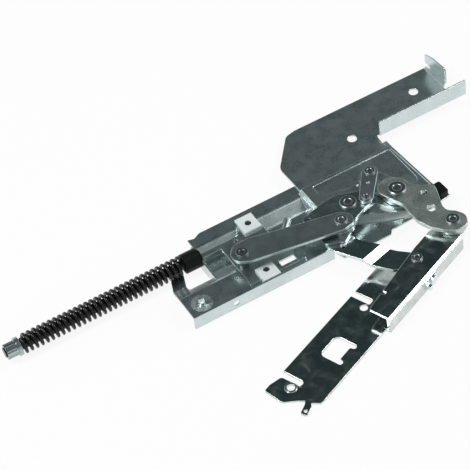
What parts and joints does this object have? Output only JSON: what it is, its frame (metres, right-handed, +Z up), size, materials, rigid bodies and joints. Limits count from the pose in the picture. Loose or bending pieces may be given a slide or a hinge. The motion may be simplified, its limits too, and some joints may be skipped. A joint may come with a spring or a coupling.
{
  "type": "dishwasher door hinge",
  "caption": "Flat sheet steel door hinge with a swinging arm, a crank and link train, a sliding carriage on a spring-loaded rod and a long slotted door rail.",
  "frame": {"origin": "centre of the box on the ground plane under the hinge as it lies", "axes": "+X along the housing away from the spring, +Y towards the mounting plate, +Z up out of the plates"},
  "size_m": [0.4354, 0.2498, 0.0305],
  "materials": {
    "zinc_sheet": "galvanised sheet, satin",
    "link_steel": "rolled, satin",
    "arm_steel": "rolled, satin",
    "rivet_steel": "formed, satin",
    "door_steel": "bright, polished",
    "spring_black": "black, semi-gloss",
    "bush_black": "black",
    "glide_plastic": "pale grey",
    "nut_steel": "satin"
  },
  "bodies": {
    "frame": {"housing": "zinc_sheet", "mounting_plate": "zinc_sheet", "arm_pivot_rivet": "rivet_steel", "arm_pivot_washer": "rivet_steel", "crank_pivot_rivet": "rivet_steel", "crank_pivot_collar": "rivet_steel", "link_frame_pin": "rivet_steel", "stop_buffer": "bush_black", "spring_bush": "bush_black"},
    "arm": {"hinge_arm": "arm_steel", "arm_doubler": "arm_steel", "door_pivot_rivet": "rivet_steel"},
    "door": {"door_bracket": "door_steel", "door_rail": "door_steel", "flange_clip": "door_steel", "flange_screw": "rivet_steel", "door_link_rivet": "rivet_steel"},
    "door_link_body": {"door_link": "link_steel"},
    "tail": {"tail_rocker": "link_steel", "tail_rivet": "rivet_steel"},
    "crank": {"crank_plate": "link_steel", "crank_doubler": "link_steel", "crank_tip_rivet": "rivet_steel", "coupler_rivet": "rivet_steel", "pull_rivet": "rivet_steel"},
    "coupler": {"coupler_link": "link_steel"},
    "slider": {"slider_plate": "zinc_sheet", "slider_rivet": "rivet_steel", "glide_block_rear": "glide_plastic", "glide_block_front": "glide_plastic", "block_pin_rear": "rivet_steel", "block_pin_front": "rivet_steel", "pull_rod": "spring_black", "adjusting_nut": "nut_steel", "spring": "spring_black"},
    "pull": {"pull_link": "link_steel"}
  },
  "joints": [
    {"name": "arm_turn", "type": "hinge", "parent": "frame", "child": "arm", "pos_m": [0.10675, 0.01088, 0.019], "axis": [0, 0, -1], "range_deg": [0, 55]},
    {"name": "door_turn", "type": "hinge", "parent": "arm", "child": "door", "pos_m": [0.12301, -0.04166, 0.014], "axis": [0, 0, 1], "range_deg": [0, 95.2]},
    {"name": "door_link_turn", "type": "hinge", "parent": "door", "child": "door_link_body", "pos_m": [0.08232, -0.05329, 0.01], "axis": [0, 0, -1], "range_deg": [0, 72]},
    {"name": "tail_rocker_turn", "type": "hinge", "parent": "frame", "child": "tail", "pos_m": [0.10675, 0.01088, 0.015], "axis": [0, 0, -1], "range_deg": [0, 11.2]},
    {"name": "crank_turn", "type": "hinge", "parent": "frame", "child": "crank", "pos_m": [0.06795, 0.02038, 0.019], "axis": [0, 0, 1], "range_deg": [0, 20.5]},
    {"name": "coupler_turn", "type": "hinge", "parent": "crank", "child": "coupler", "pos_m": [0.08105, 0.01468, 0.022], "axis": [0, 0, -1], "range_deg": [0, 31.6]},
    {"name": "slider_travel", "type": "slide", "parent": "frame", "child": "slider", "axis": [1, 0, 0], "range_m": [0, 0.00756], "deforming": ["spring"]},
    {"name": "pull_link_turn", "type": "hinge", "parent": "slider", "child": "pull", "pos_m": [-0.0268, 0.01998, 0.022], "axis": [0, 0, -1], "range_deg": [0, 3.5]}
  ],
  "couplings": [
    {"joint": "door_turn", "follows": "arm_turn", "ratio": 1.7215},
    {"joint": "door_link_turn", "follows": "arm_turn", "ratio": 1.2993},
    {"joint": "tail_rocker_turn", "follows": "arm_turn", "ratio": 0.2},
    {"joint": "crank_turn", "follows": "arm_turn", "ratio": 0.36729},
    {"joint": "coupler_turn", "follows": "arm_turn", "ratio": 0.56929},
    {"joint": "slider_travel", "follows": "arm_turn", "m_per_rad": 0.007666},
    {"joint": "pull_link_turn", "follows": "arm_turn", "ratio": 0.05969}
  ]
}
